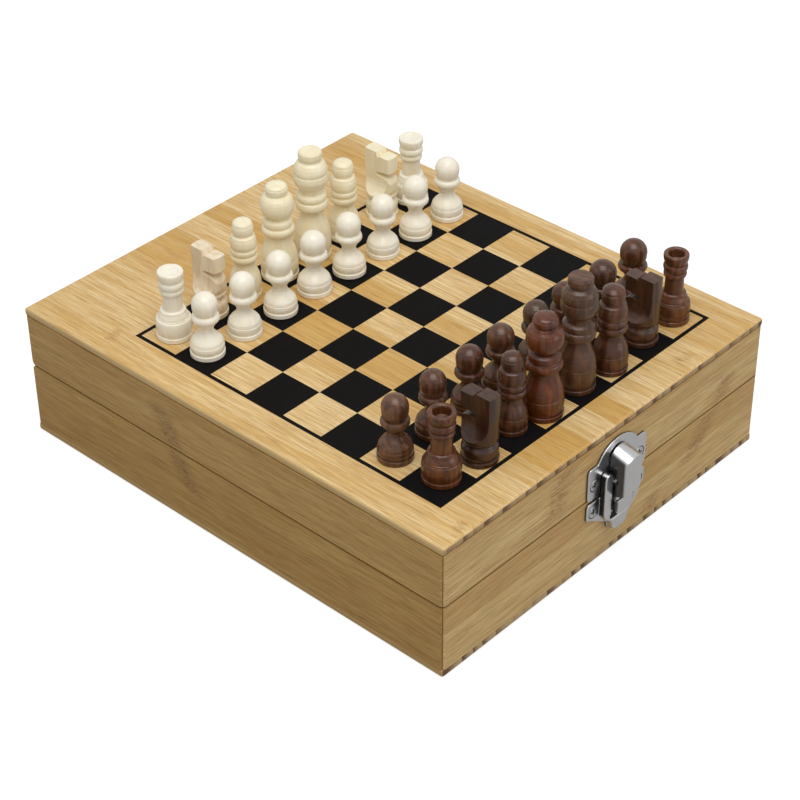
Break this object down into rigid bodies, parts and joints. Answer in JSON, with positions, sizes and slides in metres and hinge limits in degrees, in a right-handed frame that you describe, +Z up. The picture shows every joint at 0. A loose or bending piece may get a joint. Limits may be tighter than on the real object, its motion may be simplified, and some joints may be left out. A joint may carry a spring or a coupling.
{
  "type": "chess box",
  "caption": "Bamboo chess box: a shallow base and a hinged lid printed with a chessboard, held shut by a sprung steel catch, with turned chessmen set up on top.",
  "frame": {"origin": "centre of the box's underside, level with the table", "axes": "+Z up; +Y towards the hinges, so the catch faces -Y; +X to the right of someone who faces the catch"},
  "size_m": [0.1404, 0.1715, 0.081],
  "materials": {
    "bamboo_panel": "satin lacquered bamboo",
    "bamboo_wall": "satin lacquered bamboo",
    "black_print": "matt printed ink",
    "hinge_steel": "plated, lightly brushed",
    "nickel_plate": "polished nickel plate",
    "spring_steel": "drawn spring wire",
    "light_wood": "pale wood, satin lacquer",
    "dark_wood": "red-brown stained wood, gloss lacquer"
  },
  "bodies": {
    "base": {"base_bottom_panel": "bamboo_panel", "base_front_wall": "bamboo_wall", "base_back_wall": "bamboo_wall", "base_left_wall": "bamboo_wall", "base_right_wall": "bamboo_wall", "hinge_base_leaves": "hinge_steel", "hinge_pins": "hinge_steel", "hinge_base_screws": "hinge_steel", "catch_base_plate": "nickel_plate", "catch_base_screws": "nickel_plate", "catch_lever_pin": "nickel_plate"},
    "lid": {"lid_top_panel": "bamboo_panel", "lid_front_wall": "bamboo_wall", "lid_back_wall": "bamboo_wall", "lid_left_wall": "bamboo_wall", "lid_right_wall": "bamboo_wall", "board_print": "black_print", "hinge_lid_leaves": "hinge_steel", "hinge_lid_screws": "hinge_steel", "catch_strike_plate": "nickel_plate", "catch_strike_screws": "nickel_plate"},
    "catch_lever": {"catch_lever": "nickel_plate", "catch_spring": "spring_steel"},
    "dark_rook_left": {"dark_rook_left": "dark_wood"},
    "dark_knight_left": {"dark_knight_left": "dark_wood"},
    "dark_bishop_left": {"dark_bishop_left": "dark_wood"},
    "dark_queen": {"dark_queen": "dark_wood"},
    "dark_king": {"dark_king": "dark_wood"},
    "dark_bishop_right": {"dark_bishop_right": "dark_wood"},
    "dark_knight_right": {"dark_knight_right": "dark_wood"},
    "dark_rook_right": {"dark_rook_right": "dark_wood"},
    "dark_pawn_1": {"dark_pawn_1": "dark_wood"},
    "dark_pawn_2": {"dark_pawn_2": "dark_wood"},
    "dark_pawn_3": {"dark_pawn_3": "dark_wood"},
    "dark_pawn_4": {"dark_pawn_4": "dark_wood"},
    "dark_pawn_5": {"dark_pawn_5": "dark_wood"},
    "dark_pawn_6": {"dark_pawn_6": "dark_wood"},
    "dark_pawn_7": {"dark_pawn_7": "dark_wood"},
    "dark_pawn_8": {"dark_pawn_8": "dark_wood"},
    "light_pawn_1": {"light_pawn_1": "light_wood"},
    "light_pawn_2": {"light_pawn_2": "light_wood"},
    "light_pawn_3": {"light_pawn_3": "light_wood"},
    "light_pawn_4": {"light_pawn_4": "light_wood"},
    "light_pawn_5": {"light_pawn_5": "light_wood"},
    "light_pawn_6": {"light_pawn_6": "light_wood"},
    "light_pawn_7": {"light_pawn_7": "light_wood"},
    "light_pawn_8": {"light_pawn_8": "light_wood"},
    "light_rook_left": {"light_rook_left": "light_wood"},
    "light_knight_left": {"light_knight_left": "light_wood"},
    "light_bishop_left": {"light_bishop_left": "light_wood"},
    "light_queen": {"light_queen": "light_wood"},
    "light_king": {"light_king": "light_wood"},
    "light_bishop_right": {"light_bishop_right": "light_wood"},
    "light_knight_right": {"light_knight_right": "light_wood"},
    "light_rook_right": {"light_rook_right": "light_wood"}
  },
  "joints": [
    {"name": "catch_lever_pivot", "type": "hinge", "parent": "base", "child": "catch_lever", "pos_m": [0.0015, -0.08435, 0.02145], "axis": [1, 0, 0], "range_deg": [0, 20], "stiffness_Nm_per_rad": 0.01, "springref_deg": -20.05},
    {"name": "lid_hinge", "type": "hinge", "parent": "base", "child": "lid", "pos_m": [0, 0.0805, 0.0245], "axis": [-1, 0, 0], "range_deg": [0, 97]},
    {"name": "lift_dark_rook_left", "type": "slide", "parent": "lid", "child": "dark_rook_left", "axis": [0, 0, 1], "range_m": [0, 0.04]},
    {"name": "lift_dark_knight_left", "type": "slide", "parent": "lid", "child": "dark_knight_left", "axis": [0, 0, 1], "range_m": [0, 0.04]},
    {"name": "lift_dark_bishop_left", "type": "slide", "parent": "lid", "child": "dark_bishop_left", "axis": [0, 0, 1], "range_m": [0, 0.04]},
    {"name": "lift_dark_queen", "type": "slide", "parent": "lid", "child": "dark_queen", "axis": [0, 0, 1], "range_m": [0, 0.04]},
    {"name": "lift_dark_king", "type": "slide", "parent": "lid", "child": "dark_king", "axis": [0, 0, 1], "range_m": [0, 0.04]},
    {"name": "lift_dark_bishop_right", "type": "slide", "parent": "lid", "child": "dark_bishop_right", "axis": [0, 0, 1], "range_m": [0, 0.04]},
    {"name": "lift_dark_knight_right", "type": "slide", "parent": "lid", "child": "dark_knight_right", "axis": [0, 0, 1], "range_m": [0, 0.04]},
    {"name": "lift_dark_rook_right", "type": "slide", "parent": "lid", "child": "dark_rook_right", "axis": [0, 0, 1], "range_m": [0, 0.04]},
    {"name": "lift_dark_pawn_1", "type": "slide", "parent": "lid", "child": "dark_pawn_1", "axis": [0, 0, 1], "range_m": [0, 0.04]},
    {"name": "lift_dark_pawn_2", "type": "slide", "parent": "lid", "child": "dark_pawn_2", "axis": [0, 0, 1], "range_m": [0, 0.04]},
    {"name": "lift_dark_pawn_3", "type": "slide", "parent": "lid", "child": "dark_pawn_3", "axis": [0, 0, 1], "range_m": [0, 0.04]},
    {"name": "lift_dark_pawn_4", "type": "slide", "parent": "lid", "child": "dark_pawn_4", "axis": [0, 0, 1], "range_m": [0, 0.04]},
    {"name": "lift_dark_pawn_5", "type": "slide", "parent": "lid", "child": "dark_pawn_5", "axis": [0, 0, 1], "range_m": [0, 0.04]},
    {"name": "lift_dark_pawn_6", "type": "slide", "parent": "lid", "child": "dark_pawn_6", "axis": [0, 0, 1], "range_m": [0, 0.04]},
    {"name": "lift_dark_pawn_7", "type": "slide", "parent": "lid", "child": "dark_pawn_7", "axis": [0, 0, 1], "range_m": [0, 0.04]},
    {"name": "lift_dark_pawn_8", "type": "slide", "parent": "lid", "child": "dark_pawn_8", "axis": [0, 0, 1], "range_m": [0, 0.04]},
    {"name": "lift_light_pawn_1", "type": "slide", "parent": "lid", "child": "light_pawn_1", "axis": [0, 0, 1], "range_m": [0, 0.04]},
    {"name": "lift_light_pawn_2", "type": "slide", "parent": "lid", "child": "light_pawn_2", "axis": [0, 0, 1], "range_m": [0, 0.04]},
    {"name": "lift_light_pawn_3", "type": "slide", "parent": "lid", "child": "light_pawn_3", "axis": [0, 0, 1], "range_m": [0, 0.04]},
    {"name": "lift_light_pawn_4", "type": "slide", "parent": "lid", "child": "light_pawn_4", "axis": [0, 0, 1], "range_m": [0, 0.04]},
    {"name": "lift_light_pawn_5", "type": "slide", "parent": "lid", "child": "light_pawn_5", "axis": [0, 0, 1], "range_m": [0, 0.04]},
    {"name": "lift_light_pawn_6", "type": "slide", "parent": "lid", "child": "light_pawn_6", "axis": [0, 0, 1], "range_m": [0, 0.04]},
    {"name": "lift_light_pawn_7", "type": "slide", "parent": "lid", "child": "light_pawn_7", "axis": [0, 0, 1], "range_m": [0, 0.04]},
    {"name": "lift_light_pawn_8", "type": "slide", "parent": "lid", "child": "light_pawn_8", "axis": [0, 0, 1], "range_m": [0, 0.04]},
    {"name": "lift_light_rook_left", "type": "slide", "parent": "lid", "child": "light_rook_left", "axis": [0, 0, 1], "range_m": [0, 0.04]},
    {"name": "lift_light_knight_left", "type": "slide", "parent": "lid", "child": "light_knight_left", "axis": [0, 0, 1], "range_m": [0, 0.04]},
    {"name": "lift_light_bishop_left", "type": "slide", "parent": "lid", "child": "light_bishop_left", "axis": [0, 0, 1], "range_m": [0, 0.04]},
    {"name": "lift_light_queen", "type": "slide", "parent": "lid", "child": "light_queen", "axis": [0, 0, 1], "range_m": [0, 0.04]},
    {"name": "lift_light_king", "type": "slide", "parent": "lid", "child": "light_king", "axis": [0, 0, 1], "range_m": [0, 0.04]},
    {"name": "lift_light_bishop_right", "type": "slide", "parent": "lid", "child": "light_bishop_right", "axis": [0, 0, 1], "range_m": [0, 0.04]},
    {"name": "lift_light_knight_right", "type": "slide", "parent": "lid", "child": "light_knight_right", "axis": [0, 0, 1], "range_m": [0, 0.04]},
    {"name": "lift_light_rook_right", "type": "slide", "parent": "lid", "child": "light_rook_right", "axis": [0, 0, 1], "range_m": [0, 0.04]}
  ]
}
